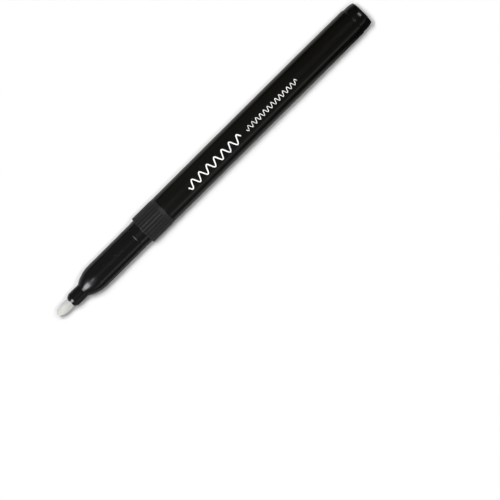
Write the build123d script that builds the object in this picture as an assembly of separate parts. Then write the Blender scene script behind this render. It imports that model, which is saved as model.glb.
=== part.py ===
from build123d import *
import math
import os

# Slim felt-tip marker for ink that shows under ultraviolet light, without its cap, lying along X.
# Millimetres. The nib points to -X and the rear end to +X. Z is up, and z = 0 is the table that it lies on.
# Axial places below are counted from the nib's tip.

# ---- driving dimensions -------------------------------------------------------------------------
LENGTH = 135.0            # nib tip to rear face

NIB_R = 1.70              # bullet head, at its widest
NIB_NOSE = 3.30           # length of the ogive nose
NIB_TIP_R = 1.00          # rounding of its tip
NIB_WAIST = 6.00          # from here back the head is straight
NIB_WAIST_R = 1.53
NIB_HEAD_END = 12.0       # shoulder between head and shank
NIB_SHANK_R = 1.36
NIB_END = 35.2            # tail, inside the ink core
NIB_TAIL_R = 0.85
NIB_TAIL_TAPER = 1.4

HOLDER_FRONT = 5.80       # mouth of the nib holder
HOLDER_R = 2.38
HOLDER_LIP_R = 1.80       # front end of the mouth's outer cone
HOLDER_CONE_END = 6.90
HOLDER_MOUTH_R = 1.62     # bore round the nib's head
HOLDER_BORE_R = 1.41      # bore round the nib's shank
HOLDER_STEP = 12.08       # step between the two bores, which the nib's shoulder rests on
HOLDER_FLANGE_R = 3.26
HOLDER_FLANGE = (15.2, 16.7)
HOLDER_TAIL_R = 2.15
HOLDER_END = 24.0
VENT_COUNT = 4            # air grooves along the mouth
VENT_W = 0.50
VENT_DEPTH = 0.12

SECTION_FRONT = 11.30     # where the holder leaves the dome
SECTION_NOSE_R = 2.49
SECTION_R = 4.38
DOME_END = 17.80
BEAD_FRONT = 34.50        # snap bead for a cap: a short ramp, a land and a small step down behind it
BEAD_TOP = 34.61
BEAD_TOP_R = 4.445
BEAD_STEP = 34.80
BEAD_R = 4.455
BEAD_REAR_R = 4.335
SECTION_REAR_R = 4.455    # slight rise from the bead to the collar
LAND_FRONT = 37.80        # land that carries the ribbed collar
LAND_R = 4.58
LAND_END = 47.22
SPIGOT_R = 4.27
SPIGOT_END = 58.30
SECTION_BORE_R = 3.62
SECTION_BORE_FRONT = 24.9
SECTION_POCKET_R = 3.29   # pocket for the holder's flange

COLLAR_R = 5.05           # over the ribs
COLLAR_NECK_R = 4.98      # plain rim behind the ribs, rising to the rear
COLLAR_RIM_R = 5.05
COLLAR_FRONT = 37.80
COLLAR_END = 47.20
RIB_COUNT = 27
RIB_END = 45.95           # groove centres end here, in a ball end
GROOVE_R = 0.30           # ball cutter
GROOVE_AT_R = 5.10        # radius on which the cutter runs

BARREL_FRONT = 47.28
BARREL_R = 5.00
BARREL_TAPER_AT = 110.0   # moulding draft from here to the rear
BARREL_END_R = 4.89
BARREL_END = 131.20
BARREL_BORE_R = 4.30
BARREL_EDGE = 0.38        # rounded rear edge
INNER_RIBS = 6            # ribs that centre the ink core
INNER_RIB_W = 0.90
INNER_RIB_R = 3.50
INNER_RIB_SPAN = (60.0, 121.0)

PLUG_FRONT = 131.25
PLUG_R = 4.67
PLUG_CROWN = (132.8, 4.62, 133.8, 4.53, 134.62, 4.34)   # start, middle and end of the crowned rear
PLUG_END_R = 4.26
PLUG_EDGE = 0.26
PLUG_SPIGOT_R = 4.28
PLUG_SPIGOT_FRONT = 123.2
PLUG_BORE_R = 3.50
PLUG_BORE_END = 132.6
PLUG_DIMPLE_R = 1.20      # gate dimple in the rear face
PLUG_DIMPLE = 0.25

CORE_R = 3.40
CORE_SPAN = (26.0, 121.5)
CORE_HOLE_R = 1.44        # seat of the nib's tail
CORE_HOLE_END = 35.6
FILM_IN_R = 3.395
FILM_R = 3.52
FILM_SPAN = (26.7, 120.8)

PRESS = 0.01              # radial interference of the pressed pairs

# ---- helpers ------------------------------------------------------------------------------------
# The pen rests on the two ribs beside the lowest groove, so its axis is this high above the table.
_cos = (COLLAR_R**2 + GROOVE_AT_R**2 - GROOVE_R**2) / (2 * COLLAR_R * GROOVE_AT_R)
AXIS_Z = COLLAR_R * _cos
X0 = -LENGTH / 2


def place(shape):
    return shape.moved(Location((X0, 0, AXIS_Z)))


def edges_of(points):
    """Edges of a closed outline of (x, r) points. A third value rounds that corner. A fourth and fifth make the
    line that arrives at the point an arc through (fourth, fifth)."""
    n = len(points)
    pts = [(p[0], p[1]) for p in points]
    rad = [p[2] if len(p) > 2 else 0.0 for p in points]
    via = [(p[3], p[4]) if len(p) > 4 else None for p in points]
    start, end, arcs = list(pts), list(pts), [None] * n
    for i in range(n):
        if rad[i] <= 0:
            continue
        a, b, c = Vector(*pts[i - 1]), Vector(*pts[i]), Vector(*pts[(i + 1) % n])
        u, v = (a - b).normalized(), (c - b).normalized()
        half = math.acos(max(-1, min(1, u.dot(v)))) / 2
        t = rad[i] / math.tan(half)
        p, q = b + u * t, b + v * t
        centre = b + (u + v).normalized() * (rad[i] / math.sin(half))
        mid = centre + (b - centre).normalized() * rad[i]
        end[i], start[i] = (p.X, p.Y), (q.X, q.Y)
        arcs[i] = (mid.X, mid.Y)
    out = []
    for i in range(n):
        j = (i + 1) % n
        if via[j]:
            out.append(Edge.make_three_point_arc(start[i], via[j], end[j]))
        elif math.dist(start[i], end[j]) > 1e-7:
            out.append(Edge.make_line(start[i], end[j]))
        if arcs[j]:
            out.append(Edge.make_three_point_arc(end[j], arcs[j], start[j]))
    return out


def lathe(points):
    return revolve(Face(Wire(edges_of(points))), Axis.X, 360)


def ring_of(cutter, count, first=0.0):
    return [cutter.rotate(Axis.X, first + 360.0 * k / count) for k in range(count)]


# ---- nib: bullet head, shouldered shank, tapered tail ---------------------------------------------
# The nose is a large arc that runs into a small arc round the tip. Behind it the head narrows a little to the mouth.
ogive_r = (NIB_NOSE**2 + NIB_R**2 - 2 * NIB_NOSE * NIB_TIP_R) / (2 * (NIB_R - NIB_TIP_R))
ogive_mid = Vector(NIB_NOSE, NIB_R - ogive_r)
tip_mid = Vector(NIB_TIP_R, 0)
join = (tip_mid - ogive_mid).normalized()
meet = tip_mid + join * NIB_TIP_R
on_ogive = ogive_mid + (join + Vector(0, 1)).normalized() * ogive_r
on_tip = tip_mid + (join + Vector(-1, 0)).normalized() * NIB_TIP_R
nose = [
    Edge.make_three_point_arc((NIB_NOSE, NIB_R), (on_ogive.X, on_ogive.Y), (meet.X, meet.Y)),
    Edge.make_three_point_arc((meet.X, meet.Y), (on_tip.X, on_tip.Y), (0, 0)),
]
waist_arc = ((NIB_WAIST - NIB_NOSE) ** 2 + (NIB_R - NIB_WAIST_R) ** 2) / (2 * (NIB_R - NIB_WAIST_R))
waist_x = (NIB_NOSE + NIB_WAIST) / 2
waist_mid = (waist_x, NIB_R - waist_arc + math.sqrt(waist_arc**2 - (waist_x - NIB_NOSE) ** 2))
nose.insert(0, Edge.make_three_point_arc((NIB_WAIST, NIB_WAIST_R), waist_mid, (NIB_NOSE, NIB_R)))
nib_edges = nose + [
    Edge.make_line(a, b)
    for a, b in zip(
        [(0, 0), (NIB_END, 0), (NIB_END, NIB_TAIL_R), (NIB_END - NIB_TAIL_TAPER, NIB_SHANK_R), (NIB_HEAD_END, NIB_SHANK_R),
         (NIB_HEAD_END, NIB_WAIST_R - 0.06), (NIB_HEAD_END - 0.06, NIB_WAIST_R)],
        [(NIB_END, 0), (NIB_END, NIB_TAIL_R), (NIB_END - NIB_TAIL_TAPER, NIB_SHANK_R), (NIB_HEAD_END, NIB_SHANK_R),
         (NIB_HEAD_END, NIB_WAIST_R - 0.06), (NIB_HEAD_END - 0.06, NIB_WAIST_R), (NIB_WAIST, NIB_WAIST_R)],
    )
]
nib = revolve(Face(Wire(nib_edges)), Axis.X, 360)

# ---- nib holder: rounded mouth, flange behind the dome, tail sleeve, air grooves --------------------
fa, fb = HOLDER_FLANGE
holder = lathe([
    (HOLDER_FRONT, HOLDER_MOUTH_R, 0.02),
    (HOLDER_FRONT, HOLDER_LIP_R),
    (HOLDER_CONE_END, HOLDER_R, 0.4),
    (fa, HOLDER_R),
    (fa, HOLDER_FLANGE_R, 0.15),
    (fb, HOLDER_FLANGE_R, 0.15),
    (fb, HOLDER_TAIL_R),
    (HOLDER_END, HOLDER_TAIL_R, 0.25),
    (HOLDER_END, HOLDER_BORE_R, 0.15),
    (HOLDER_STEP, HOLDER_BORE_R),
    (HOLDER_STEP, HOLDER_MOUTH_R),
])
vent_len = HOLDER_STEP - HOLDER_FRONT + 1.0
vent = Pos(HOLDER_STEP - vent_len / 2, 0, HOLDER_MOUTH_R + VENT_DEPTH - 0.5) * Box(vent_len, VENT_W, 1.0)
holder = holder - ring_of(vent, VENT_COUNT, 45.0)

# ---- front section: dome, grip tube, snap bead, collar land, spigot ---------------------------------
drop = SECTION_R - SECTION_NOSE_R
run = DOME_END - SECTION_FRONT
dome_r = (run**2 + drop**2) / (2 * drop)
dome_mid = (DOME_END - run * 0.55, SECTION_R - dome_r + math.sqrt(dome_r**2 - (run * 0.55) ** 2))
section = lathe([
    (SECTION_FRONT, HOLDER_R - PRESS),
    (SECTION_FRONT, SECTION_NOSE_R),
    (DOME_END, SECTION_R, 0, *dome_mid),
    (BEAD_FRONT, SECTION_R),
    (BEAD_TOP, BEAD_TOP_R),
    (BEAD_STEP, BEAD_R, 0.03),
    (BEAD_STEP + 0.04, BEAD_REAR_R),
    (LAND_FRONT, SECTION_REAR_R),
    (LAND_FRONT, LAND_R),
    (LAND_END, LAND_R),
    (LAND_END, SPIGOT_R),
    (SPIGOT_END - 0.5, SPIGOT_R),
    (SPIGOT_END, SPIGOT_R - 0.25),
    (SPIGOT_END, SECTION_BORE_R),
    (SECTION_BORE_FRONT, SECTION_BORE_R),
    (SECTION_BORE_FRONT, SECTION_POCKET_R),
    (fa - 0.02, SECTION_POCKET_R, 0.10),
    (fa - 0.02, HOLDER_R - PRESS),
])

# ---- ribbed collar: ring pressed on the land, ball-ended grooves, plain rim --------------------------
collar = lathe([
    (COLLAR_FRONT, LAND_R - PRESS),
    (COLLAR_FRONT, COLLAR_R, 0.22),
    (RIB_END, COLLAR_R),
    (RIB_END + GROOVE_R, COLLAR_NECK_R),
    (COLLAR_END, COLLAR_RIM_R, 0.22),
    (COLLAR_END, LAND_R - PRESS),
])
groove_len = RIB_END - COLLAR_FRONT + 2.0
groove = Pos(RIB_END - groove_len / 2, 0, GROOVE_AT_R) * Rot(0, 90, 0) * Cylinder(GROOVE_R, groove_len)
groove = groove + Pos(RIB_END, 0, GROOVE_AT_R) * Sphere(GROOVE_R)
collar = collar - ring_of(groove, RIB_COUNT, 180.0 / RIB_COUNT)

# ---- barrel: tube with a slight taper at the rear, rounded rear edge, inner ribs ----------------------
barrel = lathe([
    (BARREL_FRONT, BARREL_BORE_R + 0.06),
    (BARREL_FRONT, BARREL_R, 0.12),
    (BARREL_TAPER_AT, BARREL_R),
    (BARREL_END, BARREL_END_R, BARREL_EDGE),
    (BARREL_END, BARREL_BORE_R + 0.06),
    (BARREL_END - 0.3, BARREL_BORE_R),
    (BARREL_FRONT + 0.3, BARREL_BORE_R),
])
ra, rb = INNER_RIB_SPAN
rib_high = BARREL_BORE_R + 0.3 - INNER_RIB_R
rib = Pos((ra + rb) / 2, 0, INNER_RIB_R + rib_high / 2) * Box(rb - ra, INNER_RIB_W, rib_high)
barrel = barrel + ring_of(rib, INNER_RIBS, 30.0)

# ---- end plug: tapered head, hollow spigot, gate dimple ----------------------------------------------
plug = lathe([
    (PLUG_SPIGOT_FRONT, PLUG_BORE_R),
    (PLUG_SPIGOT_FRONT, PLUG_SPIGOT_R - 0.25),
    (PLUG_SPIGOT_FRONT + 0.5, PLUG_SPIGOT_R),
    (PLUG_FRONT, PLUG_SPIGOT_R),
    (PLUG_FRONT, PLUG_R, 0.12),
    PLUG_CROWN[:2],
    (*PLUG_CROWN[4:], 0, *PLUG_CROWN[2:4]),
    (LENGTH, PLUG_END_R, PLUG_EDGE),
    (LENGTH, PLUG_DIMPLE_R, 0.08),
    (LENGTH - PLUG_DIMPLE, PLUG_DIMPLE_R - 0.1),
    (LENGTH - PLUG_DIMPLE, 0),
    (PLUG_BORE_END, 0),
    (PLUG_BORE_END, PLUG_BORE_R, 0.4),
])

# ---- ink core and its film ------------------------------------------------------------------------------
ca, cb = CORE_SPAN
core = lathe([
    (ca, CORE_HOLE_R),
    (ca, CORE_R, 0.2),
    (cb, CORE_R, 0.2),
    (cb, 0),
    (CORE_HOLE_END, 0),
    (CORE_HOLE_END, CORE_HOLE_R),
])
ga, gb = FILM_SPAN
film = lathe([(ga, FILM_IN_R), (ga, FILM_R), (gb, FILM_R), (gb, FILM_IN_R)])

# ---- write ----------------------------------------------------------------------------------------------
os.makedirs("parts", exist_ok=True)
NODES = {
    "nib": nib,
    "nib_holder": holder,
    "front_section": section,
    "ribbed_collar": collar,
    "barrel": barrel,
    "end_plug": plug,
    "reservoir_core": core,
    "reservoir_film": film,
}
for name, shape in NODES.items():
    shape = place(shape)
    solids = shape.solids()
    out = solids[0] if len(solids) == 1 else Compound(children=solids)
    out.label = name
    export_step(out, f"parts/{name}.step")
    box = out.bounding_box()
    print(f"{name:16s} solids {len(solids)}  volume {sum(s.volume for s in solids):9.2f} mm3  "
          f"x {box.min.X:7.2f}..{box.max.X:7.2f}  y {box.min.Y:6.3f}..{box.max.Y:6.3f}  z {box.min.Z:6.3f}..{box.max.Z:6.3f}")
print(f"axis height {AXIS_Z:.4f}  dome radius {dome_r:.2f}")
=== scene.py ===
import bpy
import bmesh
import math
from mathutils import Matrix, Vector


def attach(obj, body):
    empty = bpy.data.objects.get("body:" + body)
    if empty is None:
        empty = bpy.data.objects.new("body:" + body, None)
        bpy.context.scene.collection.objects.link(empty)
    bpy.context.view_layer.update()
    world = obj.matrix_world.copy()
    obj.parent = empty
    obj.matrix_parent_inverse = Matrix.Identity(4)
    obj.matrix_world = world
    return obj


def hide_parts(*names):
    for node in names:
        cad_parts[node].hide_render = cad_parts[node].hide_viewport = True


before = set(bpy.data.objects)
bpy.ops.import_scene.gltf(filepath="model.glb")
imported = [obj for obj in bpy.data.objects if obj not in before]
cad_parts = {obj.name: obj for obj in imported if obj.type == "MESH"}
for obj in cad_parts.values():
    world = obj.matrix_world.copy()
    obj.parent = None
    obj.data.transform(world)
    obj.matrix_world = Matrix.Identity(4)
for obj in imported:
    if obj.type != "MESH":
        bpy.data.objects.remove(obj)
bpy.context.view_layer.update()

# Slim felt-tip marker lying along X, nib to -X. Profile numbers are millimetres counted from the nib's tip, as in the
# construction model. Angles round the axis are counted from the top, towards -Y.
LENGTH = 135.0
AXIS_Z = 5.0414
MM = 0.001
COLLAR_R, GROOVE_R, GROOVE_AT_R, RIB_COUNT, RIB_END = 5.05, 0.30, 5.10, 27, 45.95
RIB_TURN = math.radians(4 * 360 / (27 * 24))


# ------------------------------------------------------------------------------------------------ profiles
def rounded(points, closed=True, step=7.0, longest=2.5, sweep=None):
    """Fine (x, r) points of an outline. A third value rounds a corner, a fourth and fifth make the line that arrives
    an arc through that point. step divides the corners and sweep the arcs, in degrees. Long runs are divided, also
    close to their ends to keep the shading clean."""
    n = len(points)
    pts = [Vector((p[0], p[1])) for p in points]
    out = []

    def run(a, b):
        size = (b - a).length
        parts = max(1, math.ceil(size / longest))
        at = [k / parts for k in range(1, parts + 1)]
        if size > 0.5:
            at = sorted(set(at + [0.06 / size, 1 - 0.06 / size]))
        return [a.lerp(b, t) for t in at]

    def arc(a, m, b, fine):
        d = 2 * (a.x * (m.y - b.y) + m.x * (b.y - a.y) + b.x * (a.y - m.y))
        sa, sm, sb = a.length_squared, m.length_squared, b.length_squared
        c = Vector(((sa * (m.y - b.y) + sm * (b.y - a.y) + sb * (a.y - m.y)) / d,
                    (sa * (b.x - m.x) + sm * (a.x - b.x) + sb * (m.x - a.x)) / d))
        r = (a - c).length
        t0, tm, t1 = (math.atan2(p.y - c.y, p.x - c.x) for p in (a, m, b))
        turn = (t1 - t0) % (2 * math.pi)
        if (tm - t0) % (2 * math.pi) > turn:
            turn -= 2 * math.pi
        parts = max(4, math.ceil(abs(math.degrees(turn)) / fine))
        return [c + r * Vector((math.cos(t0 + turn * k / parts), math.sin(t0 + turn * k / parts)))
                for k in range(1, parts + 1)]

    for i in range(n):
        p = points[i]
        fillet = p[2] if len(p) > 2 else 0.0
        b = pts[i]
        if fillet > 0:
            u, v = (pts[i - 1] - b).normalized(), (pts[(i + 1) % n] - b).normalized()
            half = math.acos(max(-1.0, min(1.0, u.dot(v)))) / 2
            t = fillet / math.tan(half)
            into, away = b + u * t, b + v * t
            c = b + (u + v).normalized() * (fillet / math.sin(half))
            mid = c + (b - c).normalized() * fillet
        else:
            into = away = b
        if not out:
            out.append(into)
        elif len(p) > 4:
            out += arc(out[-1], Vector((p[3], p[4])), into, sweep or step)
        elif (into - out[-1]).length > 1e-7:
            out += run(out[-1], into)
        if fillet > 0:
            out += arc(into, mid, away, step)
    if closed and (out[0] - out[-1]).length > 1e-6:
        out += run(out[-1], out[0])[:-1]
    elif closed:
        out.pop()
    return [(p.x, p.y) for p in out]


def around(count, *extra):
    """Angles round the axis, evenly spread from the bottom, with some exact ones added."""
    step = 360.0 / count
    even = [-180.0 + step * k for k in range(count)]
    more = sorted({round((e + 180.0) % 360.0 - 180.0, 6) for e in extra})
    kept = [a for a in even if all(abs(a - m) > step * 0.25 for m in more)]
    return [math.radians(a) for a in sorted(kept + more)]


def lathe(name, chain, angles, closed=True, warp=None, breaks=()):
    """Mesh object turned from a chain of (x, r). warp(x, r, angle, index) may move a point. breaks are chain indexes
    where the map for baking starts a new strip."""
    bm = bmesh.new()
    rings = []
    for i, (x, r) in enumerate(chain):
        ring = []
        for a in angles:
            px, pr = warp(x, r, a, i) if warp else (x, r)
            ring.append((px, pr, a))
        if r < 1e-9:
            v = bm.verts.new(((chain[i][0] - LENGTH / 2) * MM, 0.0, AXIS_Z * MM))
            rings.append([v] * len(angles))
        else:
            rings.append([bm.verts.new(((px - LENGTH / 2) * MM, -pr * math.sin(a) * MM, (AXIS_Z + pr * math.cos(a)) * MM))
                          for px, pr, a in ring])
    uv = bm.loops.layers.uv.new("OFBake")
    n, m = len(chain), len(angles)
    spans = [(i, (i + 1) % n) for i in range(n if closed else n - 1)]
    starts = [0] + sorted(breaks)
    strips = [[s for s in spans if s[0] >= a and (k + 1 == len(starts) or s[0] < starts[k + 1])]
              for k, a in enumerate(starts)]
    lengths = [[math.dist(chain[i], chain[j]) for i, j in strip] for strip in strips]
    highs = [2 * math.pi * max(max(chain[i][1], chain[j][1]) for i, j in strip) for strip in strips]
    gap = 0.02 * max(max(sum(ls) for ls in lengths), sum(highs))
    size = max(max(sum(ls) for ls in lengths), sum(highs) + gap * len(strips)) + gap
    base = gap / 2
    for strip, ls, high in zip(strips, lengths, highs):
        along = gap / 2
        for (i, j), length in zip(strip, ls):
            for k in range(m):
                q = (k + 1) % m
                a0, a1 = angles[k], angles[k + 1] if k + 1 < m else angles[0] + 2 * math.pi
                corners = [(rings[i][k], along, a0), (rings[i][q], along, a1),
                           (rings[j][q], along + length, a1), (rings[j][k], along + length, a0)]
                kept = []
                for c in corners:
                    if all(c[0] is not o[0] for o in kept):
                        kept.append(c)
                if len(kept) < 3:
                    continue
                face = bm.faces.new([c[0] for c in kept])
                face.smooth = True
                for loop, c in zip(face.loops, kept):
                    loop[uv].uv = (c[1] / size, (base + high * (c[2] - angles[0]) / (2 * math.pi)) / size)
            along += length
        base += high + gap
    bmesh.ops.remove_doubles(bm, verts=bm.verts, dist=4e-7)
    bmesh.ops.dissolve_degenerate(bm, edges=bm.edges, dist=2e-7)
    bmesh.ops.recalc_face_normals(bm, faces=bm.faces)
    mesh = bpy.data.meshes.new(name)
    bm.to_mesh(mesh)
    bm.free()
    mesh.set_sharp_from_angle(angle=math.radians(38))
    obj = bpy.data.objects.new(name, mesh)
    bpy.context.scene.collection.objects.link(obj)
    return obj


def index_at(chain, x, r):
    return min(range(len(chain)), key=lambda i: math.dist(chain[i], (x, r)))


# ------------------------------------------------------------------------------------------------ materials
class Nodes:
    """Short calls for building one material's node tree."""

    def __init__(self, name):
        self.mat = bpy.data.materials.new(name)
        self.mat.use_nodes = True
        self.tree = self.mat.node_tree
        self.tree.nodes.clear()
        self.out = self.tree.nodes.new("ShaderNodeOutputMaterial")
        self.bsdf = self.tree.nodes.new("ShaderNodeBsdfPrincipled")
        self.link(self.bsdf.outputs[0], self.out.inputs["Surface"])
        self.coord = self.tree.nodes.new("ShaderNodeTexCoord").outputs["Object"]

    def link(self, a, b):
        self.tree.links.new(a, b)

    def put(self, socket, value):
        if isinstance(value, bpy.types.NodeSocket):
            self.link(value, socket)
        else:
            socket.default_value = value

    def scaled(self, x, y, z):
        node = self.tree.nodes.new("ShaderNodeMapping")
        node.inputs["Scale"].default_value = (x, y, z)
        self.link(self.coord, node.inputs["Vector"])
        return node.outputs[0]

    def noise(self, vector, scale, detail=3.0, rough=0.5):
        node = self.tree.nodes.new("ShaderNodeTexNoise")
        self.link(vector, node.inputs["Vector"])
        node.inputs["Scale"].default_value = scale
        node.inputs["Detail"].default_value = detail
        node.inputs["Roughness"].default_value = rough
        return node.outputs["Fac"]

    def voronoi(self, vector, scale):
        node = self.tree.nodes.new("ShaderNodeTexVoronoi")
        self.link(vector, node.inputs["Vector"])
        node.inputs["Scale"].default_value = scale
        return node.outputs["Distance"]

    def remap(self, value, a, b, c, d, smooth=False):
        node = self.tree.nodes.new("ShaderNodeMapRange")
        node.interpolation_type = "SMOOTHSTEP" if smooth else "LINEAR"
        node.clamp = True
        self.link(value, node.inputs["Value"])
        for key, v in zip(("From Min", "From Max", "To Min", "To Max"), (a, b, c, d)):
            node.inputs[key].default_value = v
        return node.outputs["Result"]

    def math(self, kind, a, b=0.0, clamp=False):
        node = self.tree.nodes.new("ShaderNodeMath")
        node.operation = kind
        node.use_clamp = clamp
        self.put(node.inputs[0], a)
        self.put(node.inputs[1], b)
        return node.outputs[0]

    def mix(self, fac, a, b):
        node = self.tree.nodes.new("ShaderNodeMix")
        node.data_type = "RGBA"
        self.put(node.inputs[0], fac)
        self.put(node.inputs[6], a)
        self.put(node.inputs[7], b)
        return node.outputs[2]

    def radius(self):
        """Distance from the pen's axis."""
        node = self.tree.nodes.new("ShaderNodeVectorMath")
        node.operation = "MULTIPLY_ADD"
        self.link(self.coord, node.inputs[0])
        node.inputs[1].default_value = (0.0, 1.0, 1.0)
        node.inputs[2].default_value = (0.0, 0.0, -AXIS_Z * MM)
        size = self.tree.nodes.new("ShaderNodeVectorMath")
        size.operation = "LENGTH"
        self.link(node.outputs[0], size.inputs[0])
        return size.outputs["Value"]

    def bump(self, height, distance, strength=1.0, normal=None):
        node = self.tree.nodes.new("ShaderNodeBump")
        node.inputs["Strength"].default_value = strength
        node.inputs["Distance"].default_value = distance
        self.link(height, node.inputs["Height"])
        if normal is not None:
            self.link(normal, node.inputs["Normal"])
        return node.outputs[0]


def black_plastic(name, dark, light, rough, spread, peel=0.0000012, grain=0.0, grain_scale=5200.0, ior=1.49, groove_shade=None):
    """Moulded black plastic: a little unevenness in tone and gloss, faint lengthwise rub marks, a moulded surface.
    The last argument gives a low and a high radius and a colour: below them the colour is painted darker, as painted
    shade in the grooves."""
    n = Nodes(name)
    cloud = n.noise(n.coord, 210.0, 4.0)
    fine = n.noise(n.coord, 2600.0, 3.0)
    rubs = n.noise(n.scaled(60.0, 2400.0, 2400.0), 1.0, 3.0, 0.6)
    rub_lines = n.remap(rubs, 0.60, 0.74, 0.0, 1.0)
    tone = n.mix(n.remap(cloud, 0.3, 0.7, 0.0, 1.0), (*dark, 1), (*light, 1))
    # Painted shade: below the given radius the colour turns darker, standing in for shade in the collar's grooves.
    if groove_shade:
        tone = n.mix(n.remap(n.radius(), groove_shade[0] * MM, groove_shade[1] * MM, 0.0, 1.0), (*groove_shade[2], 1), tone)
    n.put(n.bsdf.inputs["Base Color"], tone)
    r = n.remap(cloud, 0.25, 0.75, rough - spread, rough + spread)
    r = n.math("ADD", r, n.math("MULTIPLY", fine, spread * 0.8))
    r = n.math("ADD", r, n.math("MULTIPLY", rub_lines, spread * 1.2), clamp=True)
    n.put(n.bsdf.inputs["Roughness"], r)
    height = n.noise(n.coord, 900.0, 2.0)
    normal = n.bump(height, peel)
    if grain > 0:
        normal = n.bump(n.noise(n.coord, grain_scale, 2.0, 0.6), grain, 1.0, normal)
    normal = n.bump(rub_lines, 0.0000004, 1.0, normal)
    n.put(n.bsdf.inputs["Normal"], normal)
    n.bsdf.inputs["IOR"].default_value = ior
    return n.mat


def nib_fibre(name):
    """Bonded polyester fibre, ground to a bullet: off-white with fine strands along it and small pores; painted shade
    greys it towards the mouth and in the pores.
    """
    n = Nodes(name)
    strands = n.noise(n.scaled(500.0, 9000.0, 9000.0), 1.0, 3.0, 0.6)
    pores = n.voronoi(n.scaled(3800.0, 8200.0, 8200.0), 1.0)
    cloud = n.noise(n.coord, 700.0, 3.0)
    place = n.tree.nodes.new("ShaderNodeSeparateXYZ")
    n.link(n.coord, place.inputs[0])
    # Painted shade: the tone darkens from the tip towards the holder's mouth, where the holder shades the nib.
    mouth_shade = n.remap(place.outputs["X"], -0.0672, -0.0618, 0.0, 1.0)
    open_tone = n.mix(n.remap(strands, 0.3, 0.7, 0.0, 1.0), (0.551, 0.554, 0.529, 1), (0.642, 0.645, 0.620, 1))
    shaded_tone = n.mix(n.remap(strands, 0.3, 0.7, 0.0, 1.0), (0.327, 0.329, 0.313, 1), (0.392, 0.393, 0.375, 1))
    tone = n.mix(mouth_shade, open_tone, shaded_tone)
    tone = n.mix(n.remap(cloud, 0.35, 0.7, 0.0, 0.30), tone, (0.470, 0.468, 0.444, 1))
    # Painted shade: the pores are coloured darker, as shade inside them.
    tone = n.mix(n.remap(pores, 0.05, 0.22, 0.30, 0.0), tone, (0.34, 0.34, 0.32, 1))
    n.put(n.bsdf.inputs["Base Color"], tone)
    n.put(n.bsdf.inputs["Roughness"], n.remap(strands, 0.25, 0.75, 0.62, 0.82))
    normal = n.bump(strands, 0.000012)
    normal = n.bump(n.remap(pores, 0.0, 0.3, 0.0, 1.0), 0.000010, 1.0, normal)
    n.put(n.bsdf.inputs["Normal"], normal)
    n.bsdf.inputs["Specular IOR Level"].default_value = 0.25
    n.bsdf.inputs["Subsurface Weight"].default_value = 1.0
    n.bsdf.inputs["Subsurface Radius"].default_value = (1.0, 1.0, 0.95)
    n.bsdf.inputs["Subsurface Scale"].default_value = 0.0016
    return n.mat


def core_fibre(name):
    """Lengthwise bonded fibre of the ink core."""
    n = Nodes(name)
    strands = n.noise(n.scaled(180.0, 5200.0, 5200.0), 1.0, 4.0, 0.65)
    wander = n.noise(n.scaled(420.0, 1500.0, 1500.0), 1.0, 2.0)
    tone = n.mix(n.remap(strands, 0.3, 0.7, 0.0, 1.0), (0.60, 0.605, 0.59, 1), (0.80, 0.80, 0.785, 1))
    tone = n.mix(n.remap(wander, 0.4, 0.75, 0.0, 0.4), tone, (0.66, 0.67, 0.69, 1))
    n.put(n.bsdf.inputs["Base Color"], tone)
    n.put(n.bsdf.inputs["Roughness"], n.remap(strands, 0.25, 0.75, 0.7, 0.9))
    n.put(n.bsdf.inputs["Normal"], n.bump(strands, 0.00003))
    n.bsdf.inputs["Specular IOR Level"].default_value = 0.25
    return n.mat


def film_plastic(name):
    """Thin milky film wound round the ink core, with faint lengthwise draw lines and soft creases."""
    n = Nodes(name)
    draw = n.noise(n.scaled(25.0, 1700.0, 1700.0), 1.0, 3.0)
    creases = n.noise(n.scaled(160.0, 420.0, 420.0), 1.0, 3.0)
    tone = n.mix(n.remap(draw, 0.3, 0.7, 0.0, 1.0), (0.60, 0.62, 0.64, 1), (0.72, 0.735, 0.75, 1))
    n.put(n.bsdf.inputs["Base Color"], tone)
    n.put(n.bsdf.inputs["Roughness"], n.remap(creases, 0.3, 0.7, 0.20, 0.36))
    normal = n.bump(creases, 0.00006, 0.6)
    normal = n.bump(draw, 0.000008, 1.0, normal)
    n.put(n.bsdf.inputs["Normal"], normal)
    n.bsdf.inputs["IOR"].default_value = 1.49
    return n.mat


def print_ink(name):
    """White pad-printed ink: slightly uneven cover, a soft sheen."""
    n = Nodes(name)
    cover = n.noise(n.coord, 5200.0, 3.0, 0.6)
    cloud = n.noise(n.coord, 500.0, 2.0)
    tone = n.mix(n.remap(cover, 0.30, 0.55, 0.0, 1.0), (0.60, 0.605, 0.61, 1), (0.80, 0.80, 0.795, 1))
    tone = n.mix(n.remap(cloud, 0.35, 0.75, 0.0, 0.25), tone, (0.66, 0.665, 0.67, 1))
    n.put(n.bsdf.inputs["Base Color"], tone)
    n.put(n.bsdf.inputs["Roughness"], n.remap(cover, 0.3, 0.7, 0.38, 0.55))
    n.put(n.bsdf.inputs["Normal"], n.bump(cover, 0.000004))
    return n.mat


# ------------------------------------------------------------------------------------------------ pieces
def dress(obj, node, body, material):
    obj.data.materials.append(material)
    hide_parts(node)
    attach(obj, body)


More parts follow.
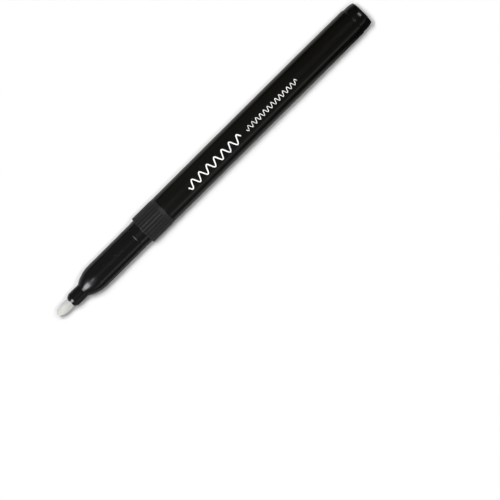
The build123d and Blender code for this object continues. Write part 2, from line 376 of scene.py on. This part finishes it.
# Nib: bullet head with an ogive nose, slightly waisted where it enters the holder, shoulder, shank, tapered tail.
NIB_R, NIB_NOSE, TIP_R = 1.70, 3.30, 1.00
ogive = (NIB_NOSE**2 + NIB_R**2 - 2 * NIB_NOSE * TIP_R) / (2 * (NIB_R - TIP_R))
centre = Vector((NIB_NOSE, NIB_R - ogive))
join = Vector((TIP_R, 0.0)) - centre
lean = math.atan2(join.y, join.x)
nose = [(TIP_R + TIP_R * math.cos(t), TIP_R * math.sin(t)) for t in (math.pi + (lean - math.pi) * k / 12 for k in range(12))]
nose += [(centre.x + ogive * math.cos(t), centre.y + ogive * math.sin(t))
         for t in (lean + (math.pi / 2 - lean) * k / 20 for k in range(21))]
nose[0] = (0.0, 0.0)
chain = nose + rounded([
    (NIB_NOSE, NIB_R), (6.00, 1.53, 0, 4.65, 1.6577), (11.94, 1.53, 0.03), (12.0, 1.47, 0.03), (12.0, 1.36, 0.04), (33.8, 1.36, 0.15), (35.2, 0.85, 0.12), (35.2, 0.0)],
    closed=False, step=8.0, longest=0.6, sweep=0.8)[1:]
chain[-1] = (35.2, 0.0)


def worn(x, r, a, i):
    """The nib's head isn't perfectly round: fine strands and a slightly uneven grind."""
    if x > 11.0:
        return x, r
    fade = min(1.0, x / 0.6)
    wave = 0.010 * math.sin(3 * a + 0.7 + 0.5 * x) + 0.006 * math.sin(7 * a - 1.1 * x) + 0.004 * math.sin(41 * a + 0.4 * math.sin(1.7 * x))
    lean = -0.08 * math.sin(a) * max(0.0, min(1.0, (5.6 - x) / 1.4))
    return x, r + (wave + lean) * fade


nib = lathe("nib_bullet", chain, around(164), closed=False, warp=worn)
dress(nib, "nib", "nib_insert", nib_fibre("nib_fibre"))

# Nib holder: coned mouth with four air notches, flange, tail sleeve.
MOUTH_R, NOTCH_R, NOTCH_HALF = 1.62, 1.74, 0.25
chain = rounded([
    (5.80, MOUTH_R, 0.02), (5.80, NOTCH_R), (5.80, 1.80, 0.02), (6.90, 2.38, 0.4), (15.2, 2.38, 0.08), (15.2, 3.26, 0.15), (16.7, 3.26, 0.15),
    (16.7, 2.15, 0.08), (24.0, 2.15, 0.25), (24.0, 1.41, 0.15), (12.08, 1.41, 0.04), (12.08, MOUTH_R, 0.04)], longest=1.5)
rim = next(i for i in range(len(chain)) if chain[i][1] >= NOTCH_R and chain[i][0] < 7.0)
rim_x = chain[rim][0]


def notched(x, r, a, i):
    if x > 12.3 or r > NOTCH_R:
        return x, r
    off = abs((math.degrees(a) - 45.0 + 45.0) % 90.0 - 45.0)
    edge = math.degrees(math.asin(NOTCH_HALF / NOTCH_R))
    k = max(0.0, min(1.0, (edge + 0.9 - off) / 1.8))
    k = k * k * (3 - 2 * k)
    return (x + (max(x, rim_x) - x) * k if x < 6.2 else x), r + (NOTCH_R - r) * k


edge = math.degrees(math.asin(NOTCH_HALF / NOTCH_R))
marks = [c + s * (edge + e) for c in (45, 135, 225, 315) for s in (-1, 1) for e in (-0.9, -0.3, 0.3, 0.9)]
holder = lathe("nib_holder_tube", chain, around(144, *marks), warp=notched, breaks=[index_at(chain, 24.0, 1.41)])
HOLDER_MAT = black_plastic("holder_plastic", (0.0011, 0.0011, 0.0011), (0.0016, 0.0016, 0.0016), 0.13, 0.015)
dress(holder, "nib_holder", "writing_unit", HOLDER_MAT)

# Front section: dome, grip tube, snap bead, land under the collar, spigot, bore.
drop, reach = 4.38 - 2.49, 17.80 - 11.30
dome_r = (reach**2 + drop**2) / (2 * drop)
mid_x = reach * 0.55
dome_mid = (17.80 - mid_x, 4.38 - dome_r + math.sqrt(dome_r**2 - mid_x**2))
chain = rounded([
    (11.30, 2.37), (11.30, 2.49, 0.03), (17.80, 4.38, 0, *dome_mid), (34.50, 4.38, 0.04), (34.61, 4.445, 0.04),
    (34.80, 4.455, 0.03), (34.84, 4.335), (37.80, 4.455, 0.04), (37.80, 4.58, 0.02), (47.22, 4.58, 0.03), (47.22, 4.27, 0.04), (57.8, 4.27, 0.12), (58.3, 4.02, 0.08),
    (58.3, 3.62, 0.05), (24.9, 3.62, 0.05), (24.9, 3.29, 0.05), (15.18, 3.29, 0.10), (15.18, 2.37)], step=6.0, longest=1.6, sweep=1.4)
section = lathe("grip_section", chain, around(192), breaks=[index_at(chain, 37.80, 4.58), index_at(chain, 58.3, 3.62)])
SECTION_MAT = black_plastic("section_plastic", (0.0012, 0.0012, 0.0012), (0.0017, 0.0017, 0.0017), 0.17, 0.02)
dress(section, "front_section", "writing_unit", SECTION_MAT)

# Ribbed collar: ball-ended grooves, open in front, and a plain rim behind.
chain = rounded([
    (37.80, 4.57), (37.80, 5.05, 0.22), (45.80, 5.05), (45.95, 5.05), (46.20, 4.98, 0.10), (47.20, 5.05, 0.22), (47.20, 4.57)],
    step=9.0, longest=0.9)
fine = []
for (x, r), (x2, r2) in zip(chain, chain[1:] + chain[:1]):
    fine.append((x, r))
    if r > 4.9 and 45.7 < x < 46.5 and x2 > x:
        parts = max(1, math.ceil((x2 - x) / 0.045))
        fine += [(x + (x2 - x) * k / parts, r + (r2 - r) * k / parts) for k in range(1, parts)]
chain = fine


def ribbed(x, r, a, i):
    if r < 4.6:
        return x, r
    pitch = 2 * math.pi / RIB_COUNT
    off = abs((a - RIB_TURN) % pitch - pitch / 2)
    past = max(0.0, x - RIB_END)
    c2 = GROOVE_R**2 - past**2
    if c2 <= 0:
        return x, r
    side = GROOVE_AT_R * math.sin(off)
    c = math.sqrt(c2)
    cut = GROOVE_AT_R * math.cos(off) - math.sqrt(c2 - side**2) if side < c else GROOVE_AT_R * math.cos(off) + (side - c) * 2.0
    k = 0.045
    h = max(0.0, min(1.0, 0.5 + 0.5 * (r - cut) / k))
    soft = cut * h + r * (1 - h) - k * h * (1 - h)
    return x, min(r, soft)


collar = lathe("collar_ribbed", chain, around(RIB_COUNT * 24), warp=ribbed, breaks=[index_at(chain, 47.20, 4.57)])
# Its grooves get painted shade: a darker colour below radius 5.04.
COLLAR_MAT = black_plastic("collar_plastic", (0.0117, 0.0112, 0.0115), (0.0147, 0.0141, 0.0145), 0.40, 0.04,
                           peel=0.000002, grain=0.0000025, grain_scale=5200.0, groove_shade=(4.84, 5.04, (0.0018, 0.0018, 0.0018)))
dress(collar, "ribbed_collar", "writing_unit", COLLAR_MAT)

# Barrel: tube with a little moulding draft, rounded rear edge and six inner ribs that centre the ink core.
chain = rounded([
    (47.28, 4.36, 0.03), (47.28, 5.00, 0.12), (110.0, 5.00), (131.20, 4.89, 0.36), (131.20, 4.36, 0.03), (130.9, 4.30, 0.10),
    (121.02, 4.30), (121.0, 4.30), (120.98, 4.30), (60.02, 4.30), (60.0, 4.30), (59.98, 4.30), (47.58, 4.30, 0.10)], longest=2.6)
RIB_HALF = math.degrees(math.asin(0.45 / 4.3))


def inner_ribs(x, r, a, i):
    if r > 4.301 or not 60.005 < x < 120.995:
        return x, r
    off = abs((math.degrees(a) - 30.0 + 30.0) % 60.0 - 30.0)
    flat = 3.50 / math.cos(math.radians(off))
    if off <= RIB_HALF + 0.02:
        return x, flat
    return x, r


marks = [c + s * (RIB_HALF + e) for c in range(30, 390, 60) for s in (-1, 1) for e in (0.0, 0.35)]
barrel = lathe("barrel_tube", chain, around(192, *marks), warp=inner_ribs, breaks=[index_at(chain, 131.20, 4.36)])
BARREL_MAT = black_plastic("barrel_plastic", (0.0012, 0.0011, 0.0008), (0.0017, 0.0016, 0.0012), 0.18, 0.02)
dress(barrel, "barrel", "barrel_body", BARREL_MAT)

# End plug: crowned head, hollow spigot, small dimple in the rear face.
chain = [(132.6, 0.0)] + rounded([
    (132.6, 0.4), (132.6, 3.50, 0.4), (123.2, 3.50, 0.05), (123.2, 4.03, 0.06), (123.7, 4.28, 0.12), (131.33, 4.28, 0.04),
    (131.33, 4.67, 0.05), (132.8, 4.62), (134.62, 4.34, 0, 133.8, 4.53), (135.0, 4.26, 0.26), (135.0, 1.20, 0.08),
    (134.75, 1.10, 0.06), (134.75, 0.3)], closed=False, step=4.0, longest=0.8) + [(134.75, 0.0)]
plug = lathe("end_plug_cap", chain, around(176), closed=False, breaks=[index_at(chain, 131.33, 4.28)])
PLUG_MAT = black_plastic("plug_plastic", (0.0021, 0.0021, 0.0020), (0.0029, 0.0029, 0.0027), 0.14, 0.02)
dress(plug, "end_plug", "rear_plug", PLUG_MAT)

# Ink core and the film round it, with a lap seam along the film.
chain = [(35.6, 0.0)] + rounded([
    (35.6, 0.4), (35.6, 1.44, 0.05), (26.0, 1.44, 0.10), (26.0, 3.40, 0.2), (121.5, 3.40, 0.2), (121.5, 0.4)],
    closed=False, longest=2.6) + [(121.5, 0.0)]
core = lathe("ink_core", chain, around(128), closed=False)
dress(core, "reservoir_core", "barrel_body", core_fibre("core_fibre"))


def lapped(x, r, a, i):
    turn = (math.degrees(a) - 64.0) % 360.0
    lift = 0.0 if r < 3.45 else 0.030 * max(0.0, min(1.0, turn / 1.2)) * max(0.0, min(1.0, (70.0 - turn) / 55.0))
    return x, r + lift


chain = rounded([(26.7, 3.405), (26.7, 3.52, 0.02), (120.8, 3.52, 0.02), (120.8, 3.405)], longest=2.6)
film = lathe("ink_film", chain, around(128, 64.0, 65.2), warp=lapped, breaks=[index_at(chain, 120.8, 3.52)])
dress(film, "reservoir_film", "barrel_body", film_plastic("film_plastic"))


# ------------------------------------------------------------------------------------------------ plain print on the barrel
def barrel_r(x):
    return 5.00 if x < 110.0 else 5.00 - 0.11 * (x - 110.0) / 21.2


def ink_stroke(bm, uv, line, width, slot_at, high=0.014):
    """One closed ribbon of ink along a line of (x, arc) points on the barrel. arc is measured round it from the top."""
    rows = []
    for i, (x, s) in enumerate(line):
        a, b = Vector(line[max(0, i - 1)]), Vector(line[min(len(line) - 1, i + 1)])
        t = (b - a).normalized()
        side = Vector((-t.y, t.x)) * width / 2
        ring = []
        for k, lift in ((-1, -0.01), (-1, high * 0.6), (-0.72, high), (0, high * 1.1), (0.72, high), (1, high * 0.6), (1, -0.01)):
            px, ps = x + side.x * k, s + side.y * k
            r = barrel_r(px) + lift
            g = ps / barrel_r(px)
            ring.append(bm.verts.new(((px - LENGTH / 2) * MM, -r * math.sin(g) * MM, (AXIS_Z + r * math.cos(g)) * MM)))
        rows.append(ring)
    n = len(rows[0])
    for i in range(len(rows) - 1):
        for k in range(n):
            q = (k + 1) % n
            f = bm.faces.new((rows[i][k], rows[i][q], rows[i + 1][q], rows[i + 1][k]))
            f.smooth = True
            for loop, (u, v) in zip(f.loops, ((i, k), (i, k + 1), (i + 1, k + 1), (i + 1, k))):
                loop[uv].uv = (u / (len(rows) - 1), slot_at[0] + (slot_at[1] - slot_at[0]) * v / n)
    for ring in (rows[0], rows[-1]):
        f = bm.faces.new(ring)
        for loop in f.loops:
            loop[uv].uv = (0.0 if ring is rows[0] else 1.0, slot_at[0])


def wave_line(x0, x1, high, turns, centre, grow=1.0, parts=220):
    """A wave whose pitch changes evenly along its length."""
    out = []
    for k in range(parts + 1):
        t = k / parts
        phase = turns * (t + (grow - 1) * t * t / 2) / (1 + (grow - 1) / 2)
        out.append((x0 + (x1 - x0) * t, centre + high / 2 * math.sin(2 * math.pi * phase)))
    return out


strokes = [
    (wave_line(57.6, 80.6, 2.5, 7.0, 0.62, 1.0, 260), 0.40),
    (wave_line(83.2, 105.2, 1.5, 13.0, 0.55, 1.0, 320), 0.20),
]
bm = bmesh.new()
uv = bm.loops.layers.uv.new("OFBake")
for k, (line, width) in enumerate(strokes):
    ink_stroke(bm, uv, line, width, ((k + 0.05) / len(strokes), (k + 0.95) / len(strokes)))
bmesh.ops.recalc_face_normals(bm, faces=bm.faces)
mesh = bpy.data.meshes.new("barrel_print")
bm.to_mesh(mesh)
bm.free()
mesh.set_sharp_from_angle(angle=math.radians(50))
ink = bpy.data.objects.new("barrel_print", mesh)
bpy.context.scene.collection.objects.link(ink)
mesh.materials.append(print_ink("print_ink"))
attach(ink, "barrel_body")

# ------------------------------------------------------------------------------------------------ floor
bm = bmesh.new()
bmesh.ops.create_circle(bm, cap_ends=True, cap_tris=False, segments=96, radius=4.0)
mesh = bpy.data.meshes.new("studio_floor")
bm.to_mesh(mesh)
bm.free()
floor = bpy.data.objects.new("studio_floor", mesh)
floor.location = (0, 0, -0.00002)
bpy.context.scene.collection.objects.link(floor)
n = Nodes("floor_paper")
n.tree.nodes.remove(n.bsdf)
sheet = n.tree.nodes.new("ShaderNodeBsdfDiffuse")
place = n.tree.nodes.new("ShaderNodeSeparateXYZ")
n.link(n.coord, place.inputs[0])
# The lamps hang close above the pen. The sheet is a little greyer under them, so that it looks evenly white.
LAMP_Z = 455.0
LAMPS = [  # name, x, y, light on the sheet under the pen's middle, radius
    ("key_1", -39.0, 61.0, 0.95, 30.0),
    ("key_2", -64.0, 90.0, 0.46, 32.0),
    ("key_3", -4.0, 112.0, 0.74, 32.0),
    ("key_4", -4.0, 160.0, 0.56, 36.0),
    ("second_1", -4.0, -63.0, 0.56, 32.0),
    ("second_2", -4.0, -100.0, 0.21, 36.0),
    ("rear_1", 101.0, 61.0, 0.43, 32.0),
    ("rear_2", 46.0, 110.0, 0.23, 32.0),
    ("rear_3", 130.0, -58.0, 0.41, 36.0),
]
given = None
for name, x, y, share, radius in LAMPS:
    reach = math.sqrt(LAMP_Z**2 + x**2 + y**2)
    away = n.tree.nodes.new("ShaderNodeVectorMath")
    away.operation = "DISTANCE"
    n.link(n.coord, away.inputs[0])
    away.inputs[1].default_value = (x * MM, y * MM, LAMP_Z * MM)
    got = n.math("MULTIPLY", n.math("POWER", n.math("DIVIDE", reach * MM, away.outputs["Value"]), 3.0), share)
    given = got if given is None else n.math("ADD", given, got)
even = n.math("MINIMUM", n.math("DIVIDE", 0.70 * sum(lamp[3] for lamp in LAMPS), given), 0.95)
# Seen in reflections the sheet shows a painted reflection tone, dimmer, as between dark cards laid either side of the
# pen.
aside = n.math("MULTIPLY", n.math("ABSOLUTE", place.outputs["Y"]), n.remap(place.outputs["X"], -0.02, 0.05, 0.92, 1.16))
near = n.remap(aside, 0.012, 0.060, 1.0, 0.0, smooth=True)
right = n.math("LESS_THAN", place.outputs["Y"], 0.0)
fade = n.remap(place.outputs["X"], 0.040, 0.066, 0.37, 0.03, smooth=True)
fade = n.math("MULTIPLY", fade, n.remap(place.outputs["X"], -0.034, -0.018, 0.86, 1.0))
level = n.math("ADD", n.math("MULTIPLY", right, fade), n.math("MULTIPLY", n.math("SUBTRACT", 1.0, right), 0.51))
level = n.math("MULTIPLY", n.math("MULTIPLY", level, near), even)
level = n.math("MAXIMUM", level, n.math("MULTIPLY", n.remap(n.math("ABSOLUTE", place.outputs["X"]), 0.100, 0.170, 0.0, 0.45, smooth=True), even))
painted_reflection_tone = n.tree.nodes.new("ShaderNodeCombineColor")
warm = n.remap(place.outputs["X"], -0.028, -0.012, 0.0, 1.0)
for k, tint in enumerate((0.035, 0.0, -0.07)):
    n.link(n.math("MULTIPLY", level, n.math("ADD", 1.0, n.math("MULTIPLY", warm, tint))), painted_reflection_tone.inputs[k])
rays = n.tree.nodes.new("ShaderNodeLightPath")
white = n.tree.nodes.new("ShaderNodeCombineColor")
for k in range(3):
    n.link(even, white.inputs[k])
n.link(n.mix(rays.outputs["Is Glossy Ray"], white.outputs[0], painted_reflection_tone.outputs[0]), sheet.inputs["Color"])
# Further away, where the lamps don't reach, the sheet glows a little and so stays white to the horizon.
glow = n.tree.nodes.new("ShaderNodeEmission")
lack = n.math("MAXIMUM", n.math("SUBTRACT", 0.70 * sum(lamp[3] for lamp in LAMPS), n.math("MULTIPLY", even, given)), 0.0)
n.link(n.math("MULTIPLY", n.math("MULTIPLY", lack, 1 / math.pi), rays.outputs["Is Camera Ray"]), glow.inputs["Strength"])
both = n.tree.nodes.new("ShaderNodeAddShader")
n.link(sheet.outputs[0], both.inputs[0])
n.link(glow.outputs[0], both.inputs[1])
n.link(both.outputs[0], n.out.inputs["Surface"])
mesh.materials.append(n.mat)


# ------------------------------------------------------------------------------------------------ light
def lamp(name, x, y, share, radius):
    """A soft round lamp above the sheet, which isn't seen in reflections."""
    data = bpy.data.lights.new(name, "POINT")
    data.shadow_soft_size = radius * MM
    data.energy = 4 * math.pi * share * (LAMP_Z**2 + x**2 + y**2) ** 1.5 / LAMP_Z * MM**2
    obj = bpy.data.objects.new(name, data)
    obj.location = (x * MM, y * MM, LAMP_Z * MM)
    obj.visible_glossy = False
    bpy.context.scene.collection.objects.link(obj)
    return obj


for item in LAMPS:
    lamp(*item)
# Small reflectors that light only the nib, low on its right and on its left.
lit = bpy.data.collections.new("nib_only")
lit.objects.link(nib)
for name, energy, towards in (("nib_reflector_right", 1.20, (0.0, 0.93, -0.36)), ("nib_reflector_left", 0.44, (0.0, -0.93, -0.36))):
    data = bpy.data.lights.new(name, "SUN")
    data.angle = math.radians(40.0)
    data.energy = energy
    reflector = bpy.data.objects.new(name, data)
    reflector.rotation_mode = "QUATERNION"
    reflector.rotation_quaternion = Vector(towards).to_track_quat("-Z", "Y")
    reflector.visible_glossy = False
    bpy.context.scene.collection.objects.link(reflector)
    reflector.light_linking.receiver_collection = lit

# Reflected studio: soft panels on a dark surround, in direction space.
world = bpy.data.worlds.new("studio")
bpy.context.scene.world = world
world.use_nodes = True
tree = world.node_tree
tree.nodes.clear()
w = Nodes.__new__(Nodes)
w.tree = tree
w.coord = tree.nodes.new("ShaderNodeTexCoord").outputs["Generated"]


def dot(axis):
    node = tree.nodes.new("ShaderNodeVectorMath")
    node.operation = "DOT_PRODUCT"
    w.link(w.coord, node.inputs[0])
    node.inputs[1].default_value = axis
    return node.outputs["Value"]


def panel(along, across, half_along, half_across, level, soft=0.25, turn=0.0, taper=0.0, corner=0.0):
    """A soft-edged panel. Its middle stands along degrees from overhead towards -X and across degrees towards -Y, and
    it is turned by turn degrees about its middle. taper widens its far end, corner rounds its corners."""
    a, c, t = math.radians(along), math.radians(across), math.radians(turn)
    mid = Vector((-math.sin(a) * math.cos(c), -math.sin(c), math.cos(a) * math.cos(c)))
    e1 = Vector((-math.cos(a), 0.0, -math.sin(a)))
    e2 = mid.cross(e1).normalized()
    e1, e2 = e1 * math.cos(t) + e2 * math.sin(t), e2 * math.cos(t) - e1 * math.sin(t)
    d = w.math("MAXIMUM", dot(mid), 0.02)
    value = w.math("GREATER_THAN", dot(mid), 0.02)
    far = w.math("DIVIDE", dot(e1), w.math("MULTIPLY", d, math.tan(math.radians(half_along))))
    wide = w.math("DIVIDE", dot(e2), w.math("MULTIPLY", d, math.tan(math.radians(half_across))))
    wide = w.math("DIVIDE", wide, w.math("ADD", 1.0, w.math("MULTIPLY", far, taper)))
    edges = [w.math("ABSOLUTE", far), w.math("ABSOLUTE", wide)]
    if corner > 0:
        edges = [w.math("POWER", w.math("ADD", *(w.math("POWER", q, corner) for q in edges)), 1 / corner)]
    for q in edges:
        value = w.math("MULTIPLY", value, w.remap(q, 1 - soft, 1 + soft, 1.0, 0.0, smooth=True))
    return w.math("MULTIPLY", value, level)


x_tilt = dot((1.0, 0.0, 0.0))
rearward = w.remap(x_tilt, 0.01, 0.10, 0.0, 1.0, smooth=True)
low = w.remap(dot((0.0, 0.0, 1.0)), 0.12, 0.50, 1.0, 0.0, smooth=True)
above = w.remap(dot((0.0, 0.0, 1.0)), 0.350, 0.420, 0.0, 1.0, smooth=True)  # the front boxes end well above the sheet
surround = w.remap(x_tilt, -0.10, 0.20, 0.185, 0.035, smooth=True)
surround = w.math("MULTIPLY", surround, w.math("SUBTRACT", 1.0, w.math("MULTIPLY", rearward, w.math("MULTIPLY", low, 0.9))))
front = [
    panel(54.2, -1.0, 13.0, 17.9, 9.4, 0.34, 0.0, -0.20, 3.2),  # large box off the nib end
    panel(52.0, -1.0, 17.0, 32.0, 0.68, 0.7),              # its halo
    panel(35.0, -3.0, 8.0, 9.0, 1.6, 0.3),                 # its dim lower edge
    panel(22.5, -4.5, 5.0, 8.5, 2.9, 0.4),                 # small box above the nib
    panel(28.0, 14.0, 13.0, 12.0, 0.45, 0.5),              # dim wall beside it
    panel(9.5, 0.0, 5.6, 9.0, 0.26, 0.25),                 # faint glow nearer overhead
]
other = [
    panel(-22.5, -4.0, 4.5, 14.0, 5.5, 0.3),               # bar above the rear end
    panel(-52.0, 24.0, 13.0, 9.0, 0.26, 0.5),              # soft boxes off the rear end
    panel(-52.0, -26.0, 13.0, 9.0, 0.22, 0.5),
    panel(-68.0, 0.0, 8.0, 34.0, 0.3, 0.5),
    panel(6.0, 67.0, 30.0, 6.0, 0.50, 0.6, 12.0),          # long strip low on the right
    panel(-12.0, 46.0, 14.0, 11.0, 0.06, 0.6),             # its faint glow further back
    panel(16.8, 61.0, 2.4, 2.8, 1.3, 0.25),                # its bright front end
]
rays = tree.nodes.new("ShaderNodeLightPath")
unseen = w.math("SUBTRACT", 1.0, rays.outputs["Is Camera Ray"])


def emit(strength, colour):
    node = tree.nodes.new("ShaderNodeBackground")
    w.put(node.inputs["Color"], colour)
    w.link(strength, node.inputs["Strength"])
    return node.outputs[0]


def gather(values):
    total = values[0]
    for value in values[1:]:
        total = w.math("ADD", total, value)
    return w.math("MULTIPLY", total, unseen)


shown = emit(w.math("MULTIPLY", rays.outputs["Is Camera Ray"], 1.0), (1, 1, 1, 1))
for part in (emit(gather([surround]), w.mix(rearward, (1, 1, 0.99, 1), (1.0, 0.94, 0.66, 1))),
             emit(w.math("MULTIPLY", gather(front), above), (0.985, 0.98, 1.03, 1)), emit(gather(other), (1, 1, 1, 1))):
    both = tree.nodes.new("ShaderNodeAddShader")
    w.link(shown, both.inputs[0])
    w.link(part, both.inputs[1])
    shown = both.outputs[0]
out = tree.nodes.new("ShaderNodeOutputWorld")
w.link(shown, out.inputs["Surface"])
world.cycles_visibility.diffuse = False

# ------------------------------------------------------------------------------------------------ camera
view = bpy.data.cameras.new("view")
view.lens = 132.331
view.sensor_width = 36.0
view.clip_start, view.clip_end = 0.01, 100.0
camera = bpy.data.objects.new("view", view)
stand = Vector((0.0, 0.0, (AXIS_Z + 580.0) * MM))
aim = Vector((-10.0696, -28.1741, AXIS_Z)) * MM
forward = (aim - stand).normalized()
roll = math.radians(44.7965)
rightward = forward.cross(Vector((math.sin(roll), math.cos(roll), 0.0))).normalized()
upward = rightward.cross(forward)
camera.matrix_world = Matrix((
    (rightward.x, upward.x, -forward.x, stand.x),
    (rightward.y, upward.y, -forward.y, stand.y),
    (rightward.z, upward.z, -forward.z, stand.z),
    (0, 0, 0, 1)))
bpy.context.scene.collection.objects.link(camera)
bpy.context.scene.camera = camera
bpy.context.scene.view_settings.view_transform = "Standard"

bpy.context.view_layer.update()
